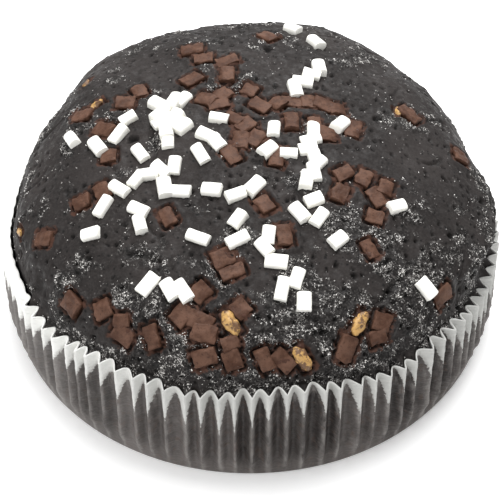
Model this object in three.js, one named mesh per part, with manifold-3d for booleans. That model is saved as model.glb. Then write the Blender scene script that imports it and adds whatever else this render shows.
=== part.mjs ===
// A domed chocolate brownie cake in its fluted paper baking case, with small
// bars of white chocolate, sunken bars of milk chocolate and bits of nut
// fused to its crust. Millimetres, +Z up. The origin is the middle of the
// flat base that the case rests on.

import * as THREE from 'three';
import { mergeVertices } from 'three/addons/utils/BufferGeometryUtils.js';
import Module from 'manifold-3d';

// ---- Driving dimensions -------------------------------------------------

// Paper case
const CASE_RADIUS = 91.5;       // out to the ridges of the pleats, at the rim
const CASE_HEIGHT = 40.4;       // floor to the mean height of the rim
const PLEATS = 98;
const PLEAT_DEPTH = 3.6;        // ridge to fold, at the rim
const PLEAT_UNEVEN = 0.45;      // spread of the pleats' widths
const DEPTH_UNEVEN = [0.8, 1.2];
const FLUTE_HEIGHT = 13;        // above this the pleats are well formed
const BELLY_RADIUS = 93;        // the filled wall bulges to this there
const FLUTE_SHARE = 0.94;       // their share of the full depth there
const FOOT_HEIGHT = 3;          // below this the wall is smooth and rounded
const FOOT_INSET = 0.4;         // the wall stands this much in at the foot
const BASE_RADIUS = 90;         // edge of the flat base
const PAPER = 0.6;              // wall of the case, measured along its radius
const RIM_SWAY = 1.7;           // the rim rises and dips by this
const RIM_SWAYS = 9;            // times round
const RIM_SWAY_AT = 4.16;       // the rim is high at this angle, in radians
const RIM_DROOP = 3.8;          // lower at the two sides, higher front and back
const RIM_TILT = 1.4;           // lower at the right, higher at the left
const RIM_JITTER = 0.7;         // from pleat to pleat
const GAP = 0.4;                // between the cake and its case

// Cake
const CROWN_RADIUS = 86.9;      // where the crust leaves the case
const CROWN_START = 37.9;       // mean height at which its arch begins
const CROWN_TOP = 78.3;         // height of the middle of the crown
const CROWN_POWER = 2.35;       // 2 is an ellipse, more is a squarer shoulder
const POWER_BEHIND = 0.3;       // more than that at the back, and less in front
const CROWN_LEAN = 0.056;       // the crown rises towards the back
const CROWN_RINGS = 13;
const CROWN_CROWDING = 1.45;    // above 1, the rings crowd at the steep edge
const NECK_RADIUS = 86.1;       // the crust draws in from the pleats here,
const NECK_DROP = 0.8;          // this far below the rim
const SHOULDER_DROP = 2.6;      // the crumb fills the pleats up to this below the rim
const SHOULDER_JITTER = 2.4;
const SWELL_RISES = [10.5, 18]; // above the start of the arch: no swell, and the full one
const SWELL_SPREAD = 14;        // degrees
// How far the crust swells out over the rim, or lies in behind it, in millimetres
// at headings in degrees: 0 is the right, 90 the back and 180 the left.
const EDGE_SWELLS = [
  [-24, 7], [-8, 5.5], [8, -1], [24, -0.5], [40, 1.5], [56, 0.5], [72, 5.5], [88, -4.5],
  [104, -2.5], [120, 1], [136, 4], [152, -3], [168, 0.5], [184, -3], [200, 3.5],
];
const LUMPS = 110;
const LUMP_WIDTH = [6, 14];
const LUMP_RISE = 1.5;          // highest lump, and deepest dip

// Toppings: length, width, and rise over the crust, each from least to most
const WHITE_BAR = { length: [6.0, 7.9], width: [3.9, 5.1], rise: [2.3, 3.0], tilt: 0.3 };
const BROWN_BAR = { length: [5.4, 8.4], width: [4.3, 6.4], rise: [0.5, 1.3], tilt: 0.2 };
const BURIED = 1.6;             // depth of a bar below the crust
const STRAY = 1;                // how far a piece lies off its strand
const TOPPED_RADIUS = 82.5;     // no piece has its middle outside this
const PILE_LIFT = 1.5;          // the upper bars of the white pile lie this much higher
const SLIVER_RADIUS = [3.0, 3.5];      // of the large slivers of nut
const BIT_RADIUS = [1.7, 2.2];         // and of the small bits
const NUT_SHAPE = [1.35, 0.65, 0.5];   // length, width and height over this radius
const NUT_UNEVEN = [0.85, 1.15];

// Strands of toppings, as the pieces fell: how many pieces, then the points
// x, y that the strand runs through, seen from above with the front at -y.
const WHITE_STRANDS = [
  [2, 16, 61, 25, 51],
  [4, 25, 32, 16, 19],
  [1, 31, 3],
  [3, 8, -3, 6, -12, 13, -13],
  [7, 22, -2, 20, -11, 23, -17, 19, -24],
  [3, 21, -32, 23, -38, 16, -37],
  [1, 48, -30],
  [1, 29, -46],
  [1, 57, -54],
  [3, 6, -46, 5, -50, 9, -54],
  [3, 15, -59, 10, -63, 17, -66],
  [2, -4, -40, -4, -47],
  [1, -17, -46],
  [3, -13, -29, -5, -31, 1, -28],
  [1, -17, -14],
  [3, -11, 3, -14, -6, -11, -9],
  [2, -43, 7, -46, 0],
  [2, -63, 2, -53, -4],
  [1, -37, -11],
  [4, -38, -22, -25, -17],
  [2, -28, -26, -23, -27],
  [2, -44, -24, -49, -30],
  [2, -37, -34, -36, -39],
  [1, -52, -39],
  [3, -33, -60, -25, -62, -21, -63],
];
const PILE_FOOT = [7, -24, 14, -34, 12, -28, 6, -32, 0, -22, 0, -28, -6];
const PILE_TOP = [4, -27, 11, -31, 6, -26, 2, -29, -2];
const BROWN_STRANDS = [
  [2, -21, 44, -17, 38],
  [2, -8, 34, -8, 27],
  [1, 7, 53],
  [1, -21, 26],
  [2, -40, 21, -45, 16],
  [3, -60, 15, -51, 4, -49, -9],
  [2, -56, -25, -50, -23],
  [1, -68, -34],
  [1, -27, -37],
  [4, -15, 14, -11, 11, -9, 17, 0, 19],
  [6, 4, 11, 18, 14, 31, 12],
  [4, 14, 2, 23, 1, 27, -3, 36, 2],
  [5, -6, 3, -2, 0, 2, -6, -3, -7, -6, -14],
  [1, 9, -14],
  [1, 57, 16],
  [1, 74, 4],
  [5, 31, -20, 38, -21, 45, -23, 42, -27, 30, -28],
  [2, 41, -35, 39, -47],
  [2, 5, -34, 11, -45],
  [2, -9, -53, -6, -57],
  [3, -16, -64, -22, -70, -15, -72],
  [1, -3, -69],
  [2, -14, -76, -6, -78],
  [2, -14, -82, -6, -84],
  [2, 5, -82, 11, -84],
  [2, -48, -64, -41, -68],
  [1, -60, -60],
  [1, -31, -74],
  [1, -42, -75],
  [3, 42, -68, 42, -73, 32, -80],
  [1, 66, -54],
];
const SLIVER_SPOTS = [[1, -6, -73], [1, 35, -70], [1, 17, -82]];
const BIT_SPOTS = [[1, -61, 37], [1, -55, 18], [1, -79, -25], [1, 53, 16]];

const WELD = 1e-4;              // points nearer than this are one

const TURN = 2 * Math.PI;

// ---- Seeded draws -------------------------------------------------------

function seededDraws(seed) {
  let state = seed;
  return () => {
    state = (state * 16807) % 2147483647;
    return state / 2147483647;
  };
}

const between = ([low, high], draw) => low + (high - low) * draw();
const smoothStep = THREE.MathUtils.smoothstep;

// ---- Closed meshes from rings -------------------------------------------

// Collects points and triangles. A ring is a list of point numbers whose
// angles go once round, anticlockwise seen from above.
class RingMesh {
  constructor() {
    this.positions = [];
    this.triangles = [];
  }

  point(x, y, z) {
    this.positions.push(x, y, z);
    return this.positions.length / 3 - 1;
  }

  ring(spots) {
    return spots.map(([radius, angle, height]) => ({
      index: this.point(radius * Math.cos(angle), radius * Math.sin(angle), height),
      angle,
    }));
  }

  // Triangles between two rings, which may have different numbers of points.
  // The ring whose next side comes first round the circle is stepped.
  band(lower, upper) {
    const middle = (ring, i) => {
      const next = ring[(i + 1) % ring.length].angle + (i + 1 >= ring.length ? TURN : 0);
      return (ring[i % ring.length].angle + next) / 2;
    };
    let a = 0;
    let b = 0;
    while (a < lower.length || b < upper.length) {
      const here = lower[a % lower.length].index;
      const above = upper[b % upper.length].index;
      const stepLower = b === upper.length
        || (a < lower.length && middle(lower, a) <= middle(upper, b));
      if (stepLower) {
        a += 1;
        this.triangles.push(here, lower[a % lower.length].index, above);
      } else {
        b += 1;
        this.triangles.push(here, upper[b % upper.length].index, above);
      }
    }
  }

  // A cap that faces down, or up, from a ring to one middle point.
  cap(ring, height, facesUp) {
    const middle = this.point(0, 0, height);
    ring.forEach(({ index }, i) => {
      const next = ring[(i + 1) % ring.length].index;
      this.triangles.push(middle, ...(facesUp ? [index, next] : [next, index]));
    });
  }

  geometry() {
    const geometry = new THREE.BufferGeometry();
    geometry.setAttribute('position', new THREE.Float32BufferAttribute(this.positions, 3));
    geometry.setIndex(this.triangles);
    return geometry;
  }
}

// ---- Pleats of the case -------------------------------------------------

// One pleat: a ridge, then a flat fold. Each point has its share of the
// pleat's width and of its depth.
const PLEAT_POINTS = [[0, 0], [0.38, 1], [0.62, 1]];

function makePleats() {
  const draw = seededDraws(4127);
  const pleats = [];
  let total = 0;
  for (let i = 0; i < PLEATS; i += 1) {
    const width = 1 + PLEAT_UNEVEN * (draw() - 0.5);
    pleats.push({
      start: total,
      width,
      depth: PLEAT_DEPTH * between(DEPTH_UNEVEN, draw),
      lift: RIM_JITTER * (draw() - 0.5),
      tongue: SHOULDER_JITTER * (draw() - 0.5),
    });
    total += width;
  }
  for (const pleat of pleats) {
    pleat.start *= TURN / total;
    pleat.width *= TURN / total;
  }
  return pleats;
}

const pleats = makePleats();

// How far the rim and the edge of the crust lie over their mean height.
const drift = (angle) => -RIM_TILT * Math.cos(angle) - RIM_DROOP * Math.cos(2 * angle);

function rimHeight(angle, lift) {
  return CASE_HEIGHT + drift(angle) + RIM_SWAY * Math.cos(RIM_SWAYS * (angle - RIM_SWAY_AT)) + lift;
}

// Radius of the outside of the paper at a share `fold` of a pleat's depth.
// Between the flute height and the rim the paper is straight.
function paperRadius(pleat, fold, height, rim) {
  const flute = BELLY_RADIUS - pleat.depth * FLUTE_SHARE * fold;
  const edge = CASE_RADIUS - pleat.depth * fold;
  return flute + (edge - flute) * (height - FLUTE_HEIGHT) / (rim - FLUTE_HEIGHT);
}

// One ring of the fluted wall. `heightOf` gives its height on each pleat.
function flutedRing(inset, heightOf) {
  const spots = [];
  for (const pleat of pleats) {
    for (const [across, fold] of PLEAT_POINTS) {
      const angle = pleat.start + pleat.width * across;
      const rim = rimHeight(angle, pleat.lift);
      const height = heightOf(pleat, rim);
      spots.push([paperRadius(pleat, fold, height, rim) - inset, angle, height]);
    }
  }
  return spots;
}

const smoothRing = (radius, height) => pleats.map(({ start }) => [radius, start, height]);

function makePaperCase() {
  const mesh = new RingMesh();
  const side = (inset) => [
    mesh.ring(smoothRing(BASE_RADIUS, inset)),
    mesh.ring(smoothRing(CASE_RADIUS - FOOT_INSET - inset, FOOT_HEIGHT)),
    mesh.ring(flutedRing(inset, () => FLUTE_HEIGHT)),
    mesh.ring(flutedRing(inset, (pleat, rim) => rim)),
  ];
  const outside = side(0);
  const inside = side(PAPER);
  mesh.cap(outside[0], 0, false);
  mesh.cap(inside[0], PAPER, true);
  for (let i = 0; i < 3; i += 1) {
    mesh.band(outside[i], outside[i + 1]);
    mesh.band(inside[i + 1], inside[i]);
  }
  mesh.band(outside[3], inside[3]);
  return mesh.geometry();
}

// ---- Crust --------------------------------------------------------------

function makeLumps() {
  const draw = seededDraws(907);
  const lumps = [];
  for (let i = 0; i < LUMPS; i += 1) {
    const angle = TURN * draw();
    const radius = CROWN_RADIUS * Math.sqrt(draw());
    lumps.push({
      x: radius * Math.cos(angle),
      y: radius * Math.sin(angle),
      width: between(LUMP_WIDTH, draw),
      rise: LUMP_RISE * (2 * draw() - 1),
    });
  }
  return lumps;
}

const lumps = makeLumps();

function relief(x, y) {
  let rise = 0;
  for (const lump of lumps) {
    const near = ((x - lump.x) ** 2 + (y - lump.y) ** 2) / lump.width ** 2;
    rise += lump.rise * Math.exp(-near);
  }
  return rise;
}

// The swell of the crust's edge at an angle.
function edgeSwell(angle) {
  let swell = 0;
  for (const [heading, out] of EDGE_SWELLS) {
    const off = THREE.MathUtils.euclideanModulo(angle * THREE.MathUtils.RAD2DEG - heading + 180, 360) - 180;
    swell += out * Math.exp(-((off / SWELL_SPREAD) ** 2));
  }
  return swell;
}

// The crust over the point x, y. Where it swells out, it clears the rim first.
function crustPoint(x, y) {
  const share = Math.min(1, Math.hypot(x, y) / CROWN_RADIUS);
  const angle = Math.atan2(y, x);
  const power = CROWN_POWER + POWER_BEHIND * Math.sin(angle);
  const arch = (1 - share ** power) ** (1 / power);
  const start = CROWN_START + drift(angle);
  const height = start + arch * (CROWN_TOP + CROWN_LEAN * y - start + relief(x, y));
  const swell = edgeSwell(angle);
  const clear = swell > 0 ? smoothStep(height - start, ...SWELL_RISES) : 1;
  const out = 1 + swell * clear * share ** 4 / CROWN_RADIUS;
  return new THREE.Vector3(x * out, y * out, height);
}

function crownRing(step) {
  const sine = Math.sin((step / (CROWN_RINGS + 1)) ** CROWN_CROWDING * TURN / 4);
  const radius = CROWN_RADIUS * sine ** (2 / CROWN_POWER);
  const count = 6 * step;
  return Array.from({ length: count }, (_, i) => {
    const angle = TURN * i / count;
    const point = crustPoint(radius * Math.cos(angle), radius * Math.sin(angle));
    return [Math.hypot(point.x, point.y), angle, point.z];
  });
}

function makeCrumb() {
  const mesh = new RingMesh();
  const inset = PAPER + GAP;
  const rings = [
    mesh.ring(smoothRing(BASE_RADIUS - GAP, inset)),
    mesh.ring(smoothRing(CASE_RADIUS - FOOT_INSET - inset, FOOT_HEIGHT)),
    mesh.ring(flutedRing(inset, () => FLUTE_HEIGHT)),
    mesh.ring(flutedRing(inset, (pleat, rim) => rim - SHOULDER_DROP + pleat.tongue)),
    mesh.ring(pleats.map(({ start }) => [NECK_RADIUS, start, rimHeight(start, -NECK_DROP)])),
  ];
  for (let step = CROWN_RINGS; step > 0; step -= 1) rings.push(mesh.ring(crownRing(step)));
  mesh.cap(rings[0], inset, false);
  for (let i = 0; i + 1 < rings.length; i += 1) mesh.band(rings[i], rings[i + 1]);
  mesh.cap(rings.at(-1), crustPoint(0, 0).z, true);
  return mesh.geometry();
}

// ---- Toppings -----------------------------------------------------------

// The point a share of the way along a strand. Each of its stretches counts
// for as much, whatever its length.
function alongStrand(path, share) {
  const points = [];
  for (let i = 0; i < path.length; i += 2) points.push(new THREE.Vector2(path[i], path[i + 1]));
  const way = share * (points.length - 1);
  const stretch = Math.min(Math.floor(way), points.length - 2);
  if (stretch < 0) return points[0];
  return points[stretch].lerp(points[stretch + 1], way - stretch);
}

function scatter(strands, draw, size) {
  const pieces = [];
  for (const [count, ...path] of strands) {
    for (let i = 0; i < count; i += 1) {
      const spot = alongStrand(path, count > 1 ? i / (count - 1) : 0);
      spot.x += STRAY * (draw() - 0.5);
      spot.y += STRAY * (draw() - 0.5);
      spot.clampLength(0, TOPPED_RADIUS);
      pieces.push({ x: spot.x, y: spot.y, heading: TURN * draw(), ...size(draw) });
    }
  }
  return pieces;
}

const barSize = (bar) => (draw) => ({
  length: between(bar.length, draw),
  width: between(bar.width, draw),
  rise: between(bar.rise, draw),
  pitch: bar.tilt * (draw() - 0.5),
  roll: bar.tilt * (draw() - 0.5),
});

const nutSize = (radius) => (draw) => ({ radius: between(radius, draw), seed: 1 + Math.floor(9999 * draw()) });

// Turns a shape whose flat side faces down so that it lies on the crust.
function layOnCrust(geometry, { x, y, heading, pitch = 0, roll = 0 }, lift = 0) {
  const reach = 2;
  const along = crustPoint(x + reach, y).sub(crustPoint(x - reach, y));
  const across = crustPoint(x, y + reach).sub(crustPoint(x, y - reach));
  const up = along.clone().cross(across).normalize();
  const ahead = new THREE.Vector3(Math.cos(heading), Math.sin(heading), 0);
  ahead.addScaledVector(up, -ahead.dot(up)).normalize();
  const aside = up.clone().cross(ahead);
  geometry.applyMatrix4(new THREE.Matrix4().makeRotationFromEuler(new THREE.Euler(roll, pitch, 0)));
  geometry.applyMatrix4(new THREE.Matrix4().makeBasis(ahead, aside, up));
  const place = crustPoint(x, y).addScaledVector(up, lift);
  return geometry.translate(place.x, place.y, place.z);
}

// A bar with a flat underside, a rounded top and square-cut ends.
function makeBar({ length, width, rise }) {
  const side = width / 2;
  const brow = rise * 0.3;
  const section = new THREE.Shape();
  section.moveTo(-side, -BURIED);
  section.lineTo(side, -BURIED);
  const steps = 3;
  for (let i = 0; i <= steps; i += 1) {
    const angle = Math.PI * i / steps;
    section.lineTo(side * Math.cos(angle), brow + (rise - brow) * Math.sin(angle));
  }
  const bar = new THREE.ExtrudeGeometry(section, { depth: length, bevelEnabled: false, steps: 1 });
  bar.translate(0, 0, -length / 2);
  bar.rotateX(TURN / 4);
  bar.rotateZ(TURN / 4);
  return bar;
}

// A broken bit of nut: a squashed ball with uneven corners.
function makeNut({ radius, seed }) {
  const draw = seededDraws(seed);
  const nut = new THREE.IcosahedronGeometry(radius, 0);
  nut.deleteAttribute('normal');
  nut.deleteAttribute('uv');
  const merged = mergeVertices(nut, WELD);
  const corners = merged.attributes.position;
  for (let i = 0; i < corners.count; i += 1) {
    const [long, wide, high] = NUT_SHAPE.map((share) => share * between(NUT_UNEVEN, draw));
    corners.setXYZ(i, long * corners.getX(i), wide * corners.getY(i), high * corners.getZ(i));
  }
  return merged;
}

// ---- Fusing -------------------------------------------------------------

const wasm = await Module();
wasm.setup();

function toSolid(geometry) {
  geometry.deleteAttribute('normal');
  geometry.deleteAttribute('uv');
  const merged = mergeVertices(geometry, WELD);
  return new wasm.Manifold(new wasm.Mesh({
    numProp: 3,
    vertProperties: new Float32Array(merged.attributes.position.array),
    triVerts: new Uint32Array(merged.index.array),
  }));
}

function toGeometry(solid) {
  const { vertProperties, triVerts } = solid.getMesh();
  const geometry = new THREE.BufferGeometry();
  geometry.setAttribute('position', new THREE.BufferAttribute(vertProperties, 3));
  geometry.setIndex(new THREE.BufferAttribute(triVerts, 1));
  return geometry;
}

function makeCake() {
  const draw = seededDraws(5309);
  const pieces = [];
  for (const bar of scatter(BROWN_STRANDS, draw, barSize(BROWN_BAR))) {
    pieces.push(layOnCrust(makeBar(bar), bar));
  }
  const slivers = scatter(SLIVER_SPOTS, draw, nutSize(SLIVER_RADIUS));
  const bits = scatter(BIT_SPOTS, draw, nutSize(BIT_RADIUS));
  for (const nut of [...slivers, ...bits]) {
    pieces.push(layOnCrust(makeNut(nut), nut));
  }
  for (const bar of scatter([...WHITE_STRANDS, PILE_FOOT], draw, barSize(WHITE_BAR))) {
    pieces.push(layOnCrust(makeBar(bar), bar));
  }
  for (const bar of scatter([PILE_TOP], draw, barSize(WHITE_BAR))) {
    pieces.push(layOnCrust(makeBar(bar), bar, PILE_LIFT));
  }
  let cake = toSolid(makeCrumb());
  for (const piece of pieces) cake = cake.add(toSolid(piece));
  // A hollow that the heaped bars seal between them is filled.
  const [whole] = cake.decompose().sort((one, other) => other.volume() - one.volume());
  return toGeometry(whole);
}

// ---- The model ----------------------------------------------------------

const paper = new THREE.MeshStandardMaterial({ color: 0xdadad4, roughness: 0.6, metalness: 0 });
const crumb = new THREE.MeshStandardMaterial({ color: 0x3a3634, roughness: 0.55, metalness: 0 });

function namedMesh(name, geometry, material) {
  const mesh = new THREE.Mesh(geometry, material);
  mesh.name = name;
  return mesh;
}

const brownieCake = new THREE.Group();
brownieCake.add(namedMesh('cake', makeCake(), crumb));
brownieCake.add(namedMesh('paper_case', makePaperCase(), paper));

export default brownieCake;
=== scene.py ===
"""A domed chocolate brownie cake in its fluted paper baking case.

Sizes are in millimetres and become metres where a mesh is made. +Z is up, the
origin is the middle of the flat base, and the front of the cake is at -Y.
"""
import math
import bmesh
import bpy
import numpy as np
from mathutils import Matrix, Vector


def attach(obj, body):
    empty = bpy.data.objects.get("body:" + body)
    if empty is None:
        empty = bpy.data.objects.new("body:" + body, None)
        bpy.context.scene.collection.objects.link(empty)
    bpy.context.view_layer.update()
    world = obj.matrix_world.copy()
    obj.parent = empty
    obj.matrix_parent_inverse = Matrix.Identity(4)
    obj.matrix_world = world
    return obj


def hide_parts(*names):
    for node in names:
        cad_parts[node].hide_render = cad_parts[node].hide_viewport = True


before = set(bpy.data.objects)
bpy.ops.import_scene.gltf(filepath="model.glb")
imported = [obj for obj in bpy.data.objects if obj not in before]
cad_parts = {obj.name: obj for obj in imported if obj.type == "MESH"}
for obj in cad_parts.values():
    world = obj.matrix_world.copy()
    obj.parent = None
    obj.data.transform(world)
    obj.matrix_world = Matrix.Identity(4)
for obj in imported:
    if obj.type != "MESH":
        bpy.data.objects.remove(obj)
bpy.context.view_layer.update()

MM = 0.001
TURN = 2 * math.pi

# ---- Sizes, in millimetres ----

# Paper case
CASE_RADIUS = 91.5              # out to the ridges of the pleats, at the rim
CASE_HEIGHT = 40.4              # up to the mean height of the rim
PLEATS = 98
PLEAT_DEPTH = 3.6
PLEAT_UNEVEN = 0.45             # spread of the widths, as a share of the mean
FOLD_POWER = 1.5                # 2 is an even wave, less has narrower ridges than folds
DEPTH_UNEVEN = (0.8, 1.2)       # least and most, over PLEAT_DEPTH
FLUTE_HEIGHT = 13.0             # above this the pleats are well formed
BELLY_RADIUS = 93               # the filled wall bulges to this there
FOOT_HEIGHT = 3.0
FOOT_INSET = 0.4
FOOT_CURL = 2.2                 # 1 is a straight slope under the foot, more is a rounder one
BASE_RADIUS = 90.0
PAPER = 0.45
PLEAT_STEPS = 12                # across one pleat of the paper
WALL_ROWS = 37                  # from its foot to the rim
COLLAR_ROWS = 4                 # and beyond it, where the paper is turned in
COLLAR = 3.6                    # width of the paper that is turned in over the shoulder
COLLAR_RISE = 0.2               # for each millimetre turned in
PRESSED = 0.92                  # share by which its pleats are pressed flat at the rim
PRESSED_WITHIN = (3.0, 12.0)    # below the rim: pressed down to the first, not below the second
TURNED_AT = math.radians(174)   # the heading round which it is turned in
TURNED_WITHIN = (0.77, 0.835)   # cosines of the turn from there: not turned in, and fully
RIM_SWAY = 1.7                  # up and down
RIM_SWAYS = 9                   # times round
RIM_SWAY_AT = 4.16              # angle of one crest, in radians
RIM_DROOP = 3.8                 # lower at the left and the right, higher in front and behind
RIM_TILT = 1.4                  # lower at the right, higher at the left
RIM_JITTER = 0.7                # spread from pleat to pleat
WELD = 0.02                     # pleats are joined within this
GAP = 0.5                       # between the crumb and the paper

# Cake
CROWN_RADIUS = 86.9
CROWN_START = 37.9              # mean height of the arch's edge
CROWN_TOP = 78.3
CROWN_POWER = 2.35              # 2 is an ellipse, more has squarer shoulders
POWER_BEHIND = 0.3              # the shoulder is squarer behind, rounder in front
CROWN_LEAN = 0.056              # rise for each millimetre towards the back
CROWN_RINGS = 176
RINGS_LEFT_OUT = 6              # the steepest ones, hidden by the rim
SHOULDER_STEPS = 6              # from the shoulder to the lowest ring of the crust
CROWN_CROWDING = 1.45           # above 1, fewer rings crowd at the edge
SIDE_STEPS = 8                  # across one pleat of the crumb's side
SHOULDER_DROP = 2.6             # below the rim
SHOULDER_JITTER = 2.4           # spread from pleat to pleat
SHOULDER_RELIEF = 0.6           # share of the crust's relief at the top of the shoulder
RELIEF_FADE = 8                 # the relief fades out over this, past the crown's radius
SWELL_RISES = (10.5, 18)        # above the start of the arch: no swell, and the full one
SWELL_SPREAD = 14               # degrees
# How far the crust swells out over the rim, or lies in behind it, at headings in
# degrees: 0 is the right, 90 the back and 180 the left.
EDGE_SWELLS = [
    (-24, 7), (-8, 5.5), (8, -1), (24, -0.5), (40, 1.5), (56, 0.5), (72, 5.5), (88, -4.5),
    (104, -2.5), (120, 1), (136, 4), (152, -3), (168, 0.5), (184, -3), (200, 3.5),
]
LUMPS = 110
LUMP_WIDTH = (6, 14)
LUMP_RISE = 1.5                 # highest lump, and deepest dip

# Toppings: length, width, and rise over the crust, each from least to most, and
# the spread of the tilt in radians
WHITE_BAR = {"length": (6.0, 7.9), "width": (3.9, 5.1), "rise": (2.3, 3.0), "tilt": 0.3}
BROWN_BAR = {"length": (5.4, 8.4), "width": (4.3, 6.4), "rise": (0.5, 1.3), "tilt": 0.2}
WHITE_WOBBLE = (0.3, 3.5)       # how uneven a piece is, and how wide its bulges are
BROWN_WOBBLE = (1.9, 2.2)
NUT_WOBBLE = (2.6, 2.2)
STRAY = 1                       # spread about a strand, in x and in y
SLOPE_REACH = 2                 # the crust's slope is taken over this to all sides
TOPPED_RADIUS = 82.5            # no piece lies further out, but for the crust's swells
PILE_LIFT = 1.5                 # of the bars on top of the heap
SLIVER_RADIUS = (3.0, 3.5)      # of the large slivers of nut
BIT_RADIUS = (1.7, 2.2)         # and of the small bits
NUT_SHAPE = (1.35, 0.65, 0.5)   # half length, half width and half height over this radius
BAR_REACH = 4                   # crust that is more than this over or under a bar is away from it
OUT_OF_REACH = 99.0
GRAIN_RADIUS = (0.15, 0.36)
GRAIN_SHAPE = (1.5, 1, 0.7)     # over its radius
GRAINS_PER_M2 = 4.0e6           # in the roughest patches

# Seeds. The solids use the first three too, so they only change together.
PLEAT_SEED = 4127
LUMP_SEED = 907
TOPPING_SEED = 5309
STAIN_SEED = 6151
GRAIN_SEED = 5

# Colours, each pair mixed by a pattern
CRUST_COLOURS = (0.011, 0.0088, 0.0083), (0.021, 0.0172, 0.0162)
# Painted glints in the crust's rough patches
FLECK_GLINT_COLOUR = (0.8, 0.78, 0.75)
# Real flakes on the crust, coloured pale as painted glints
GRAIN_GLINT_COLOURS = (0.2, 0.19, 0.18), (0.75, 0.73, 0.7)
WHITE_COLOURS = (0.93, 0.925, 0.88), (0.9, 0.885, 0.82)
BROWN_COLOURS = (0.050, 0.0215, 0.0125), (0.108, 0.0555, 0.0370)
NUT_COLOURS = (0.36, 0.195, 0.055), (0.54, 0.33, 0.115)
NUT_COAT = (0.085, 0.04, 0.023)
SOAKED_PAPER = (0.027, 0.0225, 0.021), (0.098, 0.087, 0.082)
CLEAN_PAPER = (0.42, 0.42, 0.405), (0.52, 0.52, 0.50)

# Strands of toppings: how many pieces, then the points x, y that the strand
# runs through, seen from above with the front at -y.
WHITE_STRANDS = [
    (2, 16, 61, 25, 51),
    (4, 25, 32, 16, 19),
    (1, 31, 3),
    (3, 8, -3, 6, -12, 13, -13),
    (7, 22, -2, 20, -11, 23, -17, 19, -24),
    (3, 21, -32, 23, -38, 16, -37),
    (1, 48, -30),
    (1, 29, -46),
    (1, 57, -54),
    (3, 6, -46, 5, -50, 9, -54),
    (3, 15, -59, 10, -63, 17, -66),
    (2, -4, -40, -4, -47),
    (1, -17, -46),
    (3, -13, -29, -5, -31, 1, -28),
    (1, -17, -14),
    (3, -11, 3, -14, -6, -11, -9),
    (2, -43, 7, -46, 0),
    (2, -63, 2, -53, -4),
    (1, -37, -11),
    (4, -38, -22, -25, -17),
    (2, -28, -26, -23, -27),
    (2, -44, -24, -49, -30),
    (2, -37, -34, -36, -39),
    (1, -52, -39),
    (3, -33, -60, -25, -62, -21, -63),
]
PILE_FOOT = (7, -24, 14, -34, 12, -28, 6, -32, 0, -22, 0, -28, -6)
PILE_TOP = (4, -27, 11, -31, 6, -26, 2, -29, -2)
BROWN_STRANDS = [
    (2, -21, 44, -17, 38),
    (2, -8, 34, -8, 27),
    (1, 7, 53),
    (1, -21, 26),
    (2, -40, 21, -45, 16),
    (3, -60, 15, -51, 4, -49, -9),
    (2, -56, -25, -50, -23),
    (1, -68, -34),
    (1, -27, -37),
    (4, -15, 14, -11, 11, -9, 17, 0, 19),
    (6, 4, 11, 18, 14, 31, 12),
    (4, 14, 2, 23, 1, 27, -3, 36, 2),
    (5, -6, 3, -2, 0, 2, -6, -3, -7, -6, -14),
    (1, 9, -14),
    (1, 57, 16),
    (1, 74, 4),
    (5, 31, -20, 38, -21, 45, -23, 42, -27, 30, -28),
    (2, 41, -35, 39, -47),
    (2, 5, -34, 11, -45),
    (2, -9, -53, -6, -57),
    (3, -16, -64, -22, -70, -15, -72),
    (1, -3, -69),
    (2, -14, -76, -6, -78),
    (2, -14, -82, -6, -84),
    (2, 5, -82, 11, -84),
    (2, -48, -64, -41, -68),
    (1, -60, -60),
    (1, -31, -74),
    (1, -42, -75),
    (3, 42, -68, 42, -73, 32, -80),
    (1, 66, -54),
]
SLIVER_SPOTS = [(1, -6, -73), (1, 35, -70), (1, 17, -82)]
BIT_SPOTS = [(1, -61, 37), (1, -55, 18), (1, -79, -25), (1, 53, 16)]

# Camera
LOOK_AT = (0, 0, 16.15)
CAMERA_DISTANCE = 457.8
CAMERA_ELEVATION = math.radians(46.5)
LENS = 85.96
SENSOR = 36

# Lights: name, place and size in metres, and power in watts
LIGHTS = [
    ("key", (0.05, 0.2, 0.9), 0.5, 9),
    ("sparkle", (0.1, 0.6, 0.6), 0.14, 3),
    ("left fill", (-0.65, -0.5, 0.45), 0.8, 3.5),
]
SURROUND = 0.62                 # strength of the white all round
FLOOR_REACH = 2                 # metres
FLOOR_WHITE = (0.93, 0.93, 0.93)
FLOOR_GLOW = 0.2


# ---- Camera, light and floor ----

def link_object(name, data):
    """A new object in the scene."""
    made = bpy.data.objects.new(name, data)
    bpy.context.scene.collection.objects.link(made)
    return made


def make_camera():
    camera = link_object("camera", bpy.data.cameras.new("camera"))
    camera.data.lens = LENS
    camera.data.sensor_width = SENSOR
    back = Vector((0, -math.cos(CAMERA_ELEVATION), math.sin(CAMERA_ELEVATION)))
    camera.location = (Vector(LOOK_AT) + back * CAMERA_DISTANCE) * MM
    camera.rotation_euler = (-back).to_track_quat("-Z", "Y").to_euler()
    camera.data.clip_start = 0.01
    bpy.context.scene.camera = camera


def make_area_light(name, place, size, power):
    light = bpy.data.lights.new(name, "AREA")
    light.shape = "SQUARE"
    light.size = size
    light.energy = power
    lamp = link_object(name, light)
    lamp.location = place
    lamp.rotation_euler = (-Vector(place)).to_track_quat("-Z", "Y").to_euler()


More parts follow.
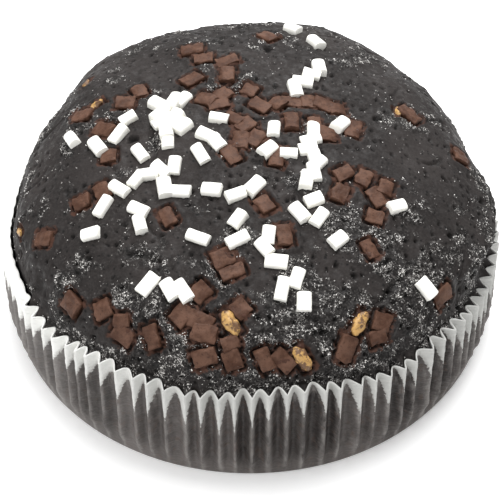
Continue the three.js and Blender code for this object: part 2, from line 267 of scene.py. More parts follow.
def make_studio():
    world = bpy.data.worlds.new("studio")
    world.use_nodes = True
    world.node_tree.nodes["Background"].inputs["Color"].default_value = (1, 1, 1, 1)
    world.node_tree.nodes["Background"].inputs["Strength"].default_value = SURROUND
    bpy.context.scene.world = world
    bpy.context.scene.view_settings.view_transform = "Standard"
    for light in LIGHTS:
        make_area_light(*light)
    corners = np.array([(-1, -1, 0), (1, -1, 0), (1, 1, 0), (-1, 1, 0)]) * FLOOR_REACH
    floor = make_object("floor", corners / MM, [(0, 1, 2, 3)])
    nodes = Nodes.material("floor")
    white = nodes.surface(FLOOR_WHITE, 0.9, Emission_Color=(1, 1, 1), Emission_Strength=FLOOR_GLOW)
    floor.data.materials.append(white)


# ---- Node trees ----

class Field:
    """An output socket that takes part in sums as a number does."""

    def __init__(self, nodes, socket):
        self.nodes = nodes
        self.socket = socket

    def __add__(self, other):
        return self.nodes.math("ADD", self, other)

    def __sub__(self, other):
        return self.nodes.math("SUBTRACT", self, other)

    def __rsub__(self, other):
        return self.nodes.math("SUBTRACT", other, self)

    def __mul__(self, other):
        return self.nodes.math("MULTIPLY", self, other)

    def __truediv__(self, other):
        return self.nodes.math("DIVIDE", self, other)

    def __rtruediv__(self, other):
        return self.nodes.math("DIVIDE", other, self)

    def __pow__(self, other):
        return self.nodes.math("POWER", self, other)

    __radd__ = __add__
    __rmul__ = __mul__


class Nodes:
    """Builds the node tree of a material or of a geometry modifier."""

    def __init__(self, tree):
        self.tree = tree

    @classmethod
    def material(cls, name):
        material = bpy.data.materials.new(name)
        material.use_nodes = True
        material.node_tree.nodes.clear()
        nodes = cls(material.node_tree)
        nodes.material = material
        return nodes

    @classmethod
    def geometry(cls, name, **sizes):
        """A geometry tree whose inputs are the object's mesh and these sizes."""
        tree = bpy.data.node_groups.new(name, "GeometryNodeTree")
        tree.interface.new_socket("Geometry", in_out="INPUT", socket_type="NodeSocketGeometry")
        tree.interface.new_socket("Geometry", in_out="OUTPUT", socket_type="NodeSocketGeometry")
        nodes = cls(tree)
        for size, value in sizes.items():
            kind = "NodeSocketInt" if isinstance(value, int) else "NodeSocketFloat"
            socket = tree.interface.new_socket(size, in_out="INPUT", socket_type=kind)
            socket.default_value = value
        nodes.inputs = tree.nodes.new("NodeGroupInput")
        return nodes

    def size(self, name):
        return Field(self, self.inputs.outputs[name])

    def plug(self, socket, value):
        if isinstance(value, Field):
            self.tree.links.new(value.socket, socket)
        elif value is not None:
            if socket.type == "RGBA" and len(value) == 3:
                value = (*value, 1)
            socket.default_value = value

    def add(self, kind, inputs=None, **settings):
        """A new node, its settings, and its inputs by name or number."""
        node = self.tree.nodes.new(kind)
        for key, value in settings.items():
            setattr(node, key, value)
        for key, value in (inputs or {}).items():
            self.plug(node.inputs[key], value)
        return node

    def out(self, node, key=0):
        return Field(self, node.outputs[key])

    def math(self, operation, *values):
        return self.out(self.add("ShaderNodeMath", dict(enumerate(values)), operation=operation))

    def vector_math(self, operation, *values):
        return self.out(self.add("ShaderNodeVectorMath", dict(enumerate(values)), operation=operation))

    def scaled(self, vector, factor):
        return self.out(self.add("ShaderNodeVectorMath", {0: vector, "Scale": factor}, operation="SCALE"))

    def vector(self, x, y, z):
        return self.out(self.add("ShaderNodeCombineXYZ", {0: x, 1: y, 2: z}))

    def parts(self, vector):
        node = self.add("ShaderNodeSeparateXYZ", {0: vector})
        return [self.out(node, i) for i in range(3)]

    def step(self, value, low, high, start=0.0, end=1.0):
        """Rises smoothly from start to end as the value goes from low to high."""
        inputs = {"Value": value, "From Min": low, "From Max": high, "To Min": start, "To Max": end}
        return self.out(self.add("ShaderNodeMapRange", inputs, interpolation_type="SMOOTHSTEP"))

    def noise(self, place, grain, detail=2.0, roughness=0.5):
        """Noise from 0 to 1 with features of about `grain` millimetres."""
        inputs = {"Vector": place, "Scale": 1 / (grain * MM), "Detail": detail, "Roughness": roughness}
        return self.out(self.add("ShaderNodeTexNoise", inputs))

    def cells(self, place, grain):
        """Distance to the nearest cell's middle, in cells, and a random colour for each cell."""
        node = self.add("ShaderNodeTexVoronoi", {"Vector": place, "Scale": 1 / (grain * MM)})
        return self.out(node, "Distance"), self.out(node, "Color")

    def place(self):
        if self.tree.type == "SHADER":
            return self.out(self.add("ShaderNodeTexCoord"), "Object")
        return self.out(self.add("GeometryNodeInputPosition"))

    def warped(self, place, grain, reach):
        """The place, moved by up to `reach` millimetres so that patterns on it aren't regular."""
        node = self.add("ShaderNodeTexNoise", {"Vector": place, "Scale": 1 / (grain * MM), "Detail": 1.0})
        shift = self.vector_math("SUBTRACT", self.out(node, "Color"), (0.5, 0.5, 0.5))
        return self.vector_math("ADD", place, self.scaled(shift, 2 * reach * MM))

    def attribute(self, name):
        """A number stored on the mesh: in a material, or in a geometry tree."""
        if self.tree.type == "SHADER":
            return self.out(self.add("ShaderNodeAttribute", attribute_name=name), "Fac")
        return self.out(self.add("GeometryNodeInputNamedAttribute", {"Name": name}, data_type="FLOAT"))

    def stored_vector(self, name):
        node = self.add("GeometryNodeInputNamedAttribute", {"Name": name}, data_type="FLOAT_VECTOR")
        return self.out(node)

    def mix(self, share, first, second):
        """Mixes two colours."""
        node = self.add("ShaderNodeMix", data_type="RGBA")
        self.plug(node.inputs["Factor"], share)
        self.plug(node.inputs[6], first)
        self.plug(node.inputs[7], second)
        return self.out(node, 2)

    def bump(self, height, depth, below=None):
        """A bump whose height, from 0 to 1, stands for `depth` millimetres."""
        inputs = {"Height": height, "Distance": depth * MM, "Strength": 1.0}
        node = self.add("ShaderNodeBump", inputs)
        if below is not None:
            self.plug(node.inputs["Normal"], below)
        return self.out(node)

    def surface(self, color, roughness, normal=None, **constants):
        """The finished surface of a material."""
        inputs = {"Base Color": color, "Roughness": roughness, "Normal": normal}
        for key, value in constants.items():
            inputs[key.replace("_", " ")] = value
        shader = self.add("ShaderNodeBsdfPrincipled", inputs)
        output = self.add("ShaderNodeOutputMaterial")
        self.tree.links.new(shader.outputs[0], output.inputs["Surface"])
        return self.material

    def offset(self, geometry, vector):
        return self.out(self.add("GeometryNodeSetPosition", {"Geometry": geometry, "Offset": vector}))

    def store(self, geometry, name, value):
        inputs = {"Geometry": geometry, "Name": name, "Value": value}
        return self.out(self.add("GeometryNodeStoreNamedAttribute", inputs, data_type="FLOAT"))

    def copies(self, points, shape, **turn_and_size):
        """A copy of the shape on each point."""
        source = self.add("GeometryNodeObjectInfo", {"Object": shape})
        inputs = {"Points": points, "Instance": self.out(source, "Geometry"), **turn_and_size}
        return self.out(self.add("GeometryNodeInstanceOnPoints", inputs))

    def real(self, geometry):
        return self.out(self.add("GeometryNodeRealizeInstances", {"Geometry": geometry}))

    def finish(self, geometry, material):
        """Ends a geometry tree: real mesh, in one material."""
        real = self.real(geometry)
        painted = self.add("GeometryNodeSetMaterial", {"Geometry": real, "Material": material})
        output = self.add("NodeGroupOutput")
        self.tree.links.new(painted.outputs[0], output.inputs[0])
        return self.tree


def grow(piece, tree):
    """Runs a geometry tree on a piece, with the tree's sizes, and keeps the result."""
    modifier = piece.modifiers.new("grow", "NODES")
    modifier.node_group = tree
    for socket in tree.interface.items_tree:
        if socket.in_out == "INPUT" and socket.socket_type != "NodeSocketGeometry":
            modifier[socket.identifier] = socket.default_value
    keep_result(piece, modifier)


def keep_result(piece, modifier):
    """Gives the piece the plain mesh that its modifier makes, and removes the modifier."""
    depsgraph = bpy.context.evaluated_depsgraph_get()
    mesh = bpy.data.meshes.new_from_object(piece.evaluated_get(depsgraph), depsgraph=depsgraph)
    piece.modifiers.remove(modifier)
    piece.data = mesh
    mesh.name = piece.name


# ---- Meshes ----

def make_object(name, points, faces=(), numbers=None, vectors=None):
    """A mesh object from points in millimetres, with what is stored on them."""
    mesh = bpy.data.meshes.new(name)
    mesh.from_pydata((np.asarray(points) * MM).tolist(), [], faces)
    for key, values in (numbers or {}).items():
        mesh.attributes.new(key, "FLOAT", "POINT").data.foreach_set("value", np.asarray(values, np.float32))
    for key, values in (vectors or {}).items():
        flat = np.asarray(values, np.float32).ravel()
        mesh.attributes.new(key, "FLOAT_VECTOR", "POINT").data.foreach_set("vector", flat)
    return link_object(name, mesh)


def smooth(piece):
    piece.data.polygons.foreach_set("use_smooth", [True] * len(piece.data.polygons))


def band(lower, upper, first_lower, first_upper):
    """Triangles between two rings, given their points' angles and first numbers."""
    def middles(angles):
        following = np.append(angles[1:], angles[0] + TURN)
        return (angles + following) / 2

    steps = np.concatenate([middles(lower), middles(upper)])
    on_upper = np.repeat([0, 1], [len(lower), len(upper)])
    order = np.lexsort((on_upper, steps))
    faces = []
    a = b = 0
    for which in on_upper[order]:
        here = first_lower + a % len(lower)
        above = first_upper + b % len(upper)
        if which:
            b += 1
            faces.append((here, first_upper + b % len(upper), above))
        else:
            a += 1
            faces.append((here, first_lower + a % len(lower), above))
    return faces


# ---- Seeded draws ----

def seeded_draws(seed):
    """The same draws as the solids are made with."""
    state = seed
    while True:
        state = state * 16807 % 2147483647
        yield state / 2147483647


def between(low, high, draws):
    return low + (high - low) * next(draws)


# ---- The form of case and crust ----

def make_pleats():
    draws = seeded_draws(PLEAT_SEED)
    rows = []
    for _ in range(PLEATS):
        width = 1 + PLEAT_UNEVEN * (next(draws) - 0.5)
        depth = PLEAT_DEPTH * between(*DEPTH_UNEVEN, draws)
        lift = RIM_JITTER * (next(draws) - 0.5)
        tongue = SHOULDER_JITTER * (next(draws) - 0.5)
        rows.append((width, depth, lift, tongue))
    width, depth, lift, tongue = np.array(rows).T
    width *= TURN / width.sum()
    return {"start": np.cumsum(width) - width, "width": width, "depth": depth, "lift": lift, "tongue": tongue}


def make_lumps():
    draws = seeded_draws(LUMP_SEED)
    lumps = []
    for _ in range(LUMPS):
        angle = TURN * next(draws)
        radius = CROWN_RADIUS * math.sqrt(next(draws))
        width = between(*LUMP_WIDTH, draws)
        rise = LUMP_RISE * (2 * next(draws) - 1)
        lumps.append((radius * math.cos(angle), radius * math.sin(angle), width, rise))
    return lumps


def smooth_step(value, low, high):
    share = np.clip((value - low) / (high - low), 0, 1)
    return share * share * (3 - 2 * share)


def drift(angle):
    """How far the rim and the edge of the crust lie over their mean height."""
    return -RIM_TILT * np.cos(angle) - RIM_DROOP * np.cos(2 * angle)


def rim_height(angle, lift):
    return CASE_HEIGHT + drift(angle) + RIM_SWAY * np.cos(RIM_SWAYS * (angle - RIM_SWAY_AT)) + lift


def edge_swell(angle):
    """The swell of the crust's edge at these angles."""
    swell = np.zeros_like(angle)
    for heading, out in EDGE_SWELLS:
        off = (np.degrees(angle) - heading + 180) % 360 - 180
        swell += out * np.exp(-(off / SWELL_SPREAD) ** 2)
    return swell


def crust_points(x, y):
    """The crust over the points x, y, as an array of points. Swells clear the rim first."""
    share = np.minimum(1, np.hypot(x, y) / CROWN_RADIUS)
    angle = np.arctan2(y, x)
    power = CROWN_POWER + POWER_BEHIND * np.sin(angle)
    arch = (1 - share ** power) ** (1 / power)
    relief = np.zeros_like(share)
    for lump_x, lump_y, width, rise in LUMP_TABLE:
        near = ((x - lump_x) ** 2 + (y - lump_y) ** 2) / width ** 2
        relief += rise * np.exp(-near)
    start = CROWN_START + drift(angle)
    height = start + arch * (CROWN_TOP + CROWN_LEAN * y - start + relief)
    swell = edge_swell(angle)
    clear = np.where(swell > 0, smooth_step(height - start, *SWELL_RISES), 1)
    out = 1 + swell * clear * share ** 4 / CROWN_RADIUS
    return np.stack([x * out, y * out, height], axis=-1)


def fold_share(across):
    """How far a pleat is folded in, from 0 at its narrow ridge to 1 in its wide fold."""
    return np.sin(np.pi * across) ** FOLD_POWER


PLEAT_TABLE = make_pleats()
LUMP_TABLE = make_lumps()


# ---- Toppings: where each piece lies ----

def along_strand(path, share):
    """The point a share of the way along, where each stretch counts for as much."""
    points = np.reshape(path, (-1, 2)).astype(float)
    way = share * (len(points) - 1)
    return np.array([np.interp(way, range(len(points)), points[:, i]) for i in range(2)])


def bar_size(bar):
    def size(draws):
        made = {key: between(*bar[key], draws) for key in ("length", "width", "rise")}
        made["pitch"] = bar["tilt"] * (next(draws) - 0.5)
        made["roll"] = bar["tilt"] * (next(draws) - 0.5)
        made["size"] = (made["length"], made["width"], made["rise"])
        return made
    return size


def nut_size(radius_range):
    def size(draws):
        radius = between(*radius_range, draws)
        next(draws)  # the solids draw the seed of each nut's own shape here
        half = [radius * share for share in NUT_SHAPE]
        return {"length": 2 * half[0], "width": 2 * half[1], "size": half, "pitch": 0, "roll": 0}
    return size


def scatter(strands, draws, size, lift=0.0):
    """The pieces of some strands, each with its place and its turn on the crust."""
    pieces = []
    for count, *path in strands:
        for i in range(count):
            spot = along_strand(path, i / (count - 1) if count > 1 else 0)
            spot = spot + STRAY * np.array([next(draws) - 0.5, next(draws) - 0.5])
            spot = spot * min(1, TOPPED_RADIUS / max(np.hypot(*spot), 1e-6))
            piece = {"x": spot[0], "y": spot[1], "heading": TURN * next(draws), **size(draws)}
            pieces.append(lay_on_crust(piece, lift))
    return pieces


def lay_on_crust(piece, lift):
    right, left, behind, front, here = crust_points(
        piece["x"] + SLOPE_REACH * np.array([1, -1, 0, 0, 0]),
        piece["y"] + SLOPE_REACH * np.array([0, 0, 1, -1, 0]))
    up = Vector(np.cross(right - left, behind - front)).normalized()
    ahead = Vector((math.cos(piece["heading"]), math.sin(piece["heading"]), 0))
    ahead = (ahead - up * ahead.dot(up)).normalized()
    lying = Matrix((ahead, up.cross(ahead), up)).transposed()
    turned = lying @ Matrix.Rotation(piece["roll"], 3, "X") @ Matrix.Rotation(piece["pitch"], 3, "Y")
    return {**piece, "lying": lying, "turn": turned.to_euler(), "place": Vector(here) + up * lift}


def lay_toppings():
    draws = seeded_draws(TOPPING_SEED)
    brown = scatter(BROWN_STRANDS, draws, bar_size(BROWN_BAR))
    nuts = scatter(SLIVER_SPOTS, draws, nut_size(SLIVER_RADIUS))
    nuts += scatter(BIT_SPOTS, draws, nut_size(BIT_RADIUS))
    white = scatter([*WHITE_STRANDS, PILE_FOOT], draws, bar_size(WHITE_BAR))
    white += scatter([PILE_TOP], draws, bar_size(WHITE_BAR), PILE_LIFT)
    return {"brown": brown, "nuts": nuts, "white": white}


# ---- Crumb ----

def crown_ring(step):
    """Points of one ring of the crust, their angles and their relief. Ring k has 6 k points."""
    radius = crown_ring_radius(step)
    angles = TURN * np.arange(6 * step) / (6 * step)
    relief = smooth_step(radius, CROWN_RADIUS + 1, CROWN_RADIUS - 1)
    return crust_points(radius * np.cos(angles), radius * np.sin(angles)), angles, relief


def crown_ring_radius(step):
    share = (step / (CROWN_RINGS + 1)) ** CROWN_CROWDING
    return CROWN_RADIUS * math.sin(share * TURN / 4) ** (2 / CROWN_POWER)


def ring_points(radius, angles, height):
    return np.stack([radius * np.cos(angles), radius * np.sin(angles), height + 0 * angles], axis=-1)


def crumb_side_rings():
    """The rings of the side that fills the pleats, from the base up to the crust."""
    across = np.arange(SIDE_STEPS) / SIDE_STEPS
    angles = (PLEAT_TABLE["start"][:, None] + PLEAT_TABLE["width"][:, None] * across).ravel()
    folded = (PLEAT_TABLE["depth"][:, None] * fold_share(across)).ravel()
    lift, tongue = (np.repeat(PLEAT_TABLE[key], SIDE_STEPS) for key in ("lift", "tongue"))
    shoulder = rim_height(angles, lift) - SHOULDER_DROP + tongue
    inset = PAPER + GAP
    starts = PLEAT_TABLE["start"]
    # Where the paper is turned in over the shoulder, the crumb leaves it room.
    turned = smooth_step(np.cos(angles - TURNED_AT), *TURNED_WITHIN)
    outer = ring_points(CASE_RADIUS - inset - folded - (PLEAT_DEPTH - folded) * turned, angles, shoulder)
    rings = [
        (ring_points(BASE_RADIUS - GAP, starts, inset), starts, 0),
        (ring_points(CASE_RADIUS - FOOT_INSET - inset, starts, FOOT_HEIGHT), starts, 0),
        (ring_points(BELLY_RADIUS - inset - folded, angles, FLUTE_HEIGHT), angles, 0),
        (outer, angles, 0),
    ]
    edge = crown_ring_radius(CROWN_RINGS - RINGS_LEFT_OUT)
    inner = crust_points(edge * np.cos(angles), edge * np.sin(angles))
    for i in range(1, SHOULDER_STEPS):
        share = i / SHOULDER_STEPS
        way = [share, share, share ** 0.5]
        rings.append((outer + (inner - outer) * way, angles, SHOULDER_RELIEF * share))
    return rings


def distance_to_bars(points, bars):
    """Distance along the crust from each point to the nearest bar's edge, below 0 under a bar."""
    nearest = np.full(len(points), OUT_OF_REACH)
    for bar in bars:
        local = (points - np.array(bar["place"])) @ np.array(bar["lying"])
        over = np.abs(local[:, :2]) - np.array([bar["length"], bar["width"]]) / 2
        outside = np.hypot(*np.maximum(over, 0).T)
        inside = np.minimum(over.max(axis=1), 0)
        far = np.maximum(np.abs(local[:, 2]) - BAR_REACH, 0)
        nearest = np.minimum(nearest, outside + inside + far)
    return nearest


def make_crumb(toppings, material):
    """One closed mesh from rings, with the relief of the crust grown on it."""
    rings = crumb_side_rings()
    rings += [crown_ring(step) for step in range(CROWN_RINGS - RINGS_LEFT_OUT, 0, -1)]
    counts = [len(points) for points, _, _ in rings]
    firsts = np.concatenate([[0], np.cumsum(counts)])
    faces = []
    for i in range(len(rings) - 1):
        faces += band(rings[i][1], rings[i + 1][1], firsts[i], firsts[i + 1])
    floor_count = len(rings[0][1])
    faces.append(tuple(range(floor_count))[::-1])
    top = firsts[-1]
    last = firsts[-2]
    faces += [(last + i, last + (i + 1) % 6, top) for i in range(6)]
    points = np.concatenate([*(points for points, _, _ in rings), crust_points(np.zeros(1), np.zeros(1))])
    relief = np.append(np.repeat([share for _, _, share in rings], counts), 1)
    radius = np.hypot(points[:, 0], points[:, 1])
    numbers = {
        "relief": relief * smooth_step(radius, CROWN_RADIUS + RELIEF_FADE, CROWN_RADIUS),
        "crown": np.minimum(1, relief * 4),
        "to_brown": distance_to_bars(points, toppings["brown"] + toppings["nuts"]),
    }
    piece = make_object("crumb", points, faces, numbers)
    grow(piece, crust_relief_tree(material))
    smooth(piece)
    return piece


def crust_relief_tree(material):
    """Pebbles, pores and folds of the crust, and the dents round the bars."""
    sizes = {"Pebble rise": 0.8, "Pore depth": 1.5, "Pit depth": 2.2, "Fold depth": 1.2, "Dent depth": 1.5}
    nodes = Nodes.geometry("crust relief", **sizes)
    geometry = nodes.out(nodes.inputs)
    place = nodes.place()
    normal = nodes.out(nodes.add("GeometryNodeInputNormal"))
    x, y, z = nodes.parts(place)
    crown = nodes.attribute("crown")
    to_brown = nodes.attribute("to_brown")
    # The front and the right are rougher than the middle and the back, and the edge by the rim too.
    lean = nodes.step(x * 0.35 - y, 0.02, 0.085, -0.03, 0.095) + nodes.step(z, 0.045, 0.052, 0.06, 0)
    coarse = nodes.step(nodes.noise(place, 15, 4.0, 0.6) + lean, 0.49, 0.6)
    wavy = nodes.warped(place, 5, 1.2)
    pebble, _ = nodes.cells(wavy, 2.1)
    pebbles = (1 - pebble * pebble * 1.6) * nodes.step(nodes.noise(place, 3.2), 0.3, 0.6)
    grain = nodes.noise(place, 2.2, 4.0, 0.7) - 0.5
    waves = nodes.noise(place, 14, 2.0) - 0.5
    pore, pore_colour = nodes.cells(nodes.warped(place, 2.5, 0.8), 3.1)
    pore_draw, pore_size, _ = nodes.parts(pore_colour)
    open_pore = nodes.step(pore_draw + coarse * 0.3, 0.55, 0.6)
    pores = nodes.step(pore, 0.1, 0.24 + pore_size * 0.16, 1, 0) * open_pore
    pit, pit_colour = nodes.cells(nodes.warped(place, 4, 2.0), 12)
    pit_draw, pit_size, _ = nodes.parts(pit_colour)
    pits = nodes.step(pit, 0.07, 0.12 + pit_size * 0.09, 1, 0) * nodes.step(pit_draw, 0.42, 0.48)
    crease = nodes.math("ABSOLUTE", nodes.noise(nodes.warped(place, 20, 8), 34, 1.0) - 0.5)
    folds = nodes.step(crease, 0.0, 0.022, 1, 0) * nodes.step(nodes.noise(place, 22), 0.48, 0.6)
    gap = nodes.step(to_brown, -0.4, 0.3) * nodes.step(to_brown, 0.5, 1.5, 1, 0)
    dents = gap * nodes.step(nodes.noise(place, 2.4, 2.0), 0.42, 0.54)
    lip = nodes.step(to_brown, 0.9, 1.8) * nodes.step(to_brown, 1.9, 3.8, 1, 0)
    rise = (pebbles * coarse * nodes.size("Pebble rise") + grain * (coarse * 0.9 + 0.35) + waves * 1.6
            + lip * (nodes.noise(place, 4) * 1.4 - 0.2)
            - pores * nodes.size("Pore depth") - pits * nodes.size("Pit depth")
            - folds * nodes.size("Fold depth") - dents * nodes.size("Dent depth"))
    # The hollows are stored so that the crumb's material paints shade into them.
    hollow = nodes.math("MAXIMUM", pores, nodes.math("MAXIMUM", pits, dents))
    marked = nodes.store(geometry, "coarse", coarse * crown)
    marked = nodes.store(marked, "hollow", nodes.math("MAXIMUM", hollow, folds * 0.35) * crown)
    moved = nodes.offset(marked, nodes.scaled(normal, rise * nodes.attribute("relief") * MM))
    return nodes.finish(moved, material)


def crumb_material():
    nodes = Nodes.material("crumb")
    place = nodes.place()
    coarse = nodes.attribute("coarse")
    hollow = nodes.attribute("hollow")
    to_brown = nodes.attribute("to_brown")
    broad = nodes.noise(place, 24, 3.0)
    fine = nodes.noise(place, 0.9, 3.0, 0.7)
    color = nodes.mix(nodes.step(broad, 0.35, 0.66), *CRUST_COLOURS)
    color = nodes.mix(nodes.step(fine, 0.35, 0.8, 0, 0.6), color, (0.036, 0.031, 0.029))
    # The rough patches are painted dark, as shade in their crevices, and broken into bright curly flecks that
    # are painted glints, with a painted sheen over parts of them.
    color = nodes.mix(coarse * nodes.step(fine, 0.3, 0.6, 0.95, 0.6), color, (0.004, 0.0034, 0.0032))
    curl = nodes.math("ABSOLUTE", nodes.noise(nodes.warped(place, 1.3, 0.6), 1.1, 1.0) - 0.5)
    broken = nodes.step(nodes.noise(place, 0.9, 2.0, 0.6), 0.44, 0.54)
    patchy = nodes.step(nodes.noise(place, 3.6, 4.0, 0.65) + coarse * 0.12, 0.57, 0.66)
    sheen = nodes.step(nodes.noise(place, 0.7, 2.0), 0.5, 0.6) * nodes.step(coarse, 0.1, 0.6)
    color = nodes.mix(sheen * nodes.step(patchy, 0.0, 0.6, 0.25, 0.6), color, (0.085, 0.078, 0.074))
    # Painted glints: bright curly flecks in the rough patches.
    fleck_glints = nodes.step(curl, 0.008, 0.04, 1, 0) * broken * patchy * nodes.step(coarse, 0.0, 0.9, 0.1, 1.0)
    glint = nodes.step(nodes.noise(place, 1.0), 0.44, 0.58, 0.22, 1)
    color = nodes.mix(fleck_glints * glint, color, FLECK_GLINT_COLOUR)
    # Painted glints: sparse grey specks over the smooth crust.
    speck, speck_colour = nodes.cells(place, 1.5)
    speck_glints = nodes.step(speck, 0.05, 0.2, 1, 0) * nodes.step(nodes.parts(speck_colour)[0], 0.86, 0.9)
    color = nodes.mix(speck_glints, color, (0.2, 0.19, 0.18))
    stray = nodes.noise(place, 2.0, 3.0, 0.6) * 3.4
    melt = nodes.step(to_brown + stray, 2.6, 3.5, 1, 0)
    color = nodes.mix(melt * 0.85, color, (0.062, 0.026, 0.016))
    # Painted shade: the hollows, and tiny pinholes that have no relief, are painted near black.
    pin, pin_colour = nodes.cells(nodes.warped(place, 1.1, 0.4), 1.9)
    pin_draw, pin_size, _ = nodes.parts(pin_colour)
    pinhole_shade = nodes.step(pin, 0.16, 0.24 + pin_size * 0.16, 1, 0) * nodes.step(pin_draw, 0.55, 0.57)
    color = nodes.mix(nodes.math("MAXIMUM", hollow, pinhole_shade) * 0.95, color, (0.0025, 0.002, 0.0018))
    gloss = nodes.step(nodes.noise(place, 2.4, 3.0), 0.4, 0.7, 0.8, 0.5)
    ripple = nodes.bump(fine, 0.25)
    return nodes.surface(color, gloss, nodes.bump(fleck_glints, 0.15, ripple), Specular_IOR_Level=0.2)


# ---- Grains on the crust ----

def make_grains(crumb, material):
    """Small flakes that lie in the rough patches of the crust, made bright in colour as painted glints."""
    flake = flake_mesh()
    piece = link_object("crust_grains", crumb.data.copy())
    nodes = Nodes.geometry("crust grains", Density=GRAINS_PER_M2, Seed=GRAIN_SEED)
    place = nodes.place()
    thick = nodes.step(nodes.noise(place, 3.6, 4.0, 0.65), 0.52, 0.64)
    wanted = nodes.attribute("coarse") * thick * (1 - nodes.attribute("hollow")) + 0.006
    clear = nodes.step(nodes.attribute("to_brown"), 0.2, 1.0) * nodes.step(nodes.attribute("crown"), 0.5, 0.9)
    spread = nodes.add("GeometryNodeDistributePointsOnFaces", {
        "Mesh": nodes.out(nodes.inputs), "Density": nodes.size("Density") * wanted * clear,
        "Seed": nodes.size("Seed")})
    least, most = (radius * MM for radius in GRAIN_RADIUS)
    size = nodes.add("FunctionNodeRandomValue", {2: least, 3: most}, data_type="FLOAT")
    turn = nodes.add("FunctionNodeRandomValue", {1: (TURN, TURN, TURN)}, data_type="FLOAT_VECTOR")
    scale = nodes.vector(*(nodes.out(size, 1) * share for share in GRAIN_SHAPE))
    laid = nodes.copies(nodes.out(spread), flake, Rotation=nodes.out(turn), Scale=scale)
    grow(piece, nodes.finish(laid, material))
    bpy.data.objects.remove(flake)
    return piece


def flake_mesh():
    """A flake with four faces, about one unit in radius."""
    corners = np.array([(1, 0, -0.3), (-0.5, 0.87, -0.3), (-0.5, -0.87, -0.3), (0, 0, 1)])
    return make_object("flake", corners / MM, [(0, 2, 1), (0, 1, 3), (1, 2, 3), (2, 0, 3)])


def grain_material():
    nodes = Nodes.material("grains")
    place = nodes.place()
    # The flakes are real, and their pale colour is a painted glint.
    color = nodes.mix(nodes.step(nodes.noise(place, 1.5), 0.4, 0.6), *GRAIN_GLINT_COLOURS)
    return nodes.surface(color, 0.4, IOR=1.5)


# ---- Bars of chocolate ----

def bar_mesh(name, length_steps=7, arc_steps=9, soften=0.08):
    """A bar one unit long, wide and high, with a rounded top and softened ends.

    Its height of 1 is from the crust up, and it goes down to -1 below it.
    """
    side, arch = 0.35, 0.6
    section = [(-0.5, -1.0)]
    for i in range(arc_steps + 1):
        angle = math.pi * (1 - i / arc_steps)
        flat = abs(math.cos(angle)) ** 0.75
        section.append((math.copysign(0.5 * flat, math.cos(angle)), side + arch * math.sin(angle) ** 0.85))
    section.append((0.5, -1.0))
    section = np.array(section)
    middle = np.array([0.0, 0.2])
    stations = [(-0.5, 1 - soften), (-0.49, 1 - soften / 3), (-0.46, 1)]
    stations += [(x, 1) for x in np.linspace(-0.46, 0.46, length_steps)[1:-1]]
    stations += [(0.46, 1), (0.49, 1 - soften / 3), (0.5, 1 - soften)]
    points = []
    for x, share in stations:
        points += [(x, *(middle + (corner - middle) * share)) for corner in section]
    around = len(section)
    faces = []
    for k in range(len(stations) - 1):
        for i in range(around):
            a, b = k * around + i, k * around + (i + 1) % around
            faces.append((a, b, b + around, a + around))
    faces.append(tuple(range(around))[::-1])
    faces.append(tuple(range(len(points) - around, len(points))))
    piece = make_object(name, np.array(points) / MM, faces)
    flip_outwards(piece.data)
    return piece


def flip_outwards(mesh):
    """Turns all faces round if the mesh is inside out."""
    volume = sum(p.center.dot(p.normal) * p.area for p in mesh.polygons)
    if volume < 0:
        mesh.flip_normals()


def topping_tree(name, shape, material, uneven, bulge):
    """Lays a copy of the shape on every point, by the turn and size stored there.

    Each is made uneven by up to half of `uneven`, in bulges of about `bulge` millimetres.
    """
    nodes = Nodes.geometry(name, Uneven=uneven, Bulge=bulge)
    turn = nodes.out(nodes.add("FunctionNodeEulerToRotation", {0: nodes.stored_vector("turn")}))
    size = nodes.stored_vector("size")
    real = nodes.real(nodes.copies(nodes.out(nodes.inputs), shape, Rotation=turn, Scale=size))
    place = nodes.place()
    field = nodes.add("ShaderNodeTexNoise", {
        "Vector": nodes.scaled(place, 1 / (nodes.size("Bulge") * MM)), "Scale": 1.0, "Detail": 2.0})
    wobble = nodes.vector_math("SUBTRACT", nodes.out(field, "Color"), (0.5, 0.5, 0.5))
    moved = nodes.offset(real, nodes.scaled(wobble, nodes.size("Uneven") * MM))
    return nodes.finish(moved, material)


def make_toppings(name, toppings, shape, material, wobble):
    """All toppings of one kind, as one mesh."""
    vectors = {
        "turn": [topping["turn"] for topping in toppings],
        "size": [np.multiply(topping["size"], MM) for topping in toppings],
    }
    piece = make_object(name, [topping["place"] for topping in toppings], vectors=vectors)
    grow(piece, topping_tree(name, shape, material, *wobble))
    bpy.data.objects.remove(shape)
    smooth(piece)
    return piece


def white_material():
    nodes = Nodes.material("white chocolate")
    place = nodes.place()
    color = nodes.mix(nodes.noise(place, 4, 2.0), *WHITE_COLOURS)
    return nodes.surface(color, 0.42, nodes.bump(nodes.noise(place, 0.8, 3.0), 0.06), IOR=1.45)


def brown_material():
    nodes = Nodes.material("milk chocolate")
    place = nodes.place()
    streak = nodes.noise(place, 2.4, 3.0, 0.6)
    tone = nodes.step(streak * 0.5 + nodes.noise(place, 9) * 0.5, 0.36, 0.62)
    color = nodes.mix(tone, *BROWN_COLOURS)
    speck = nodes.step(nodes.noise(place, 0.8, 2.0), 0.6, 0.7)
    color = nodes.mix(speck * 0.55, color, (0.026, 0.012, 0.008))
    return nodes.surface(color, nodes.step(streak, 0.3, 0.7, 0.5, 0.65),
                         nodes.bump(nodes.noise(place, 1.3, 3.0, 0.65), 0.34), Specular_IOR_Level=0.14)


# ---- Nuts ----

def nut_mesh(name):
    """A ball one unit in radius, that is squashed and made uneven where it is laid."""
    ball = bmesh.new()
    bmesh.ops.create_icosphere(ball, subdivisions=3, radius=1)
    piece = make_object(name, [])
    ball.to_mesh(piece.data)
    ball.free()
    return piece


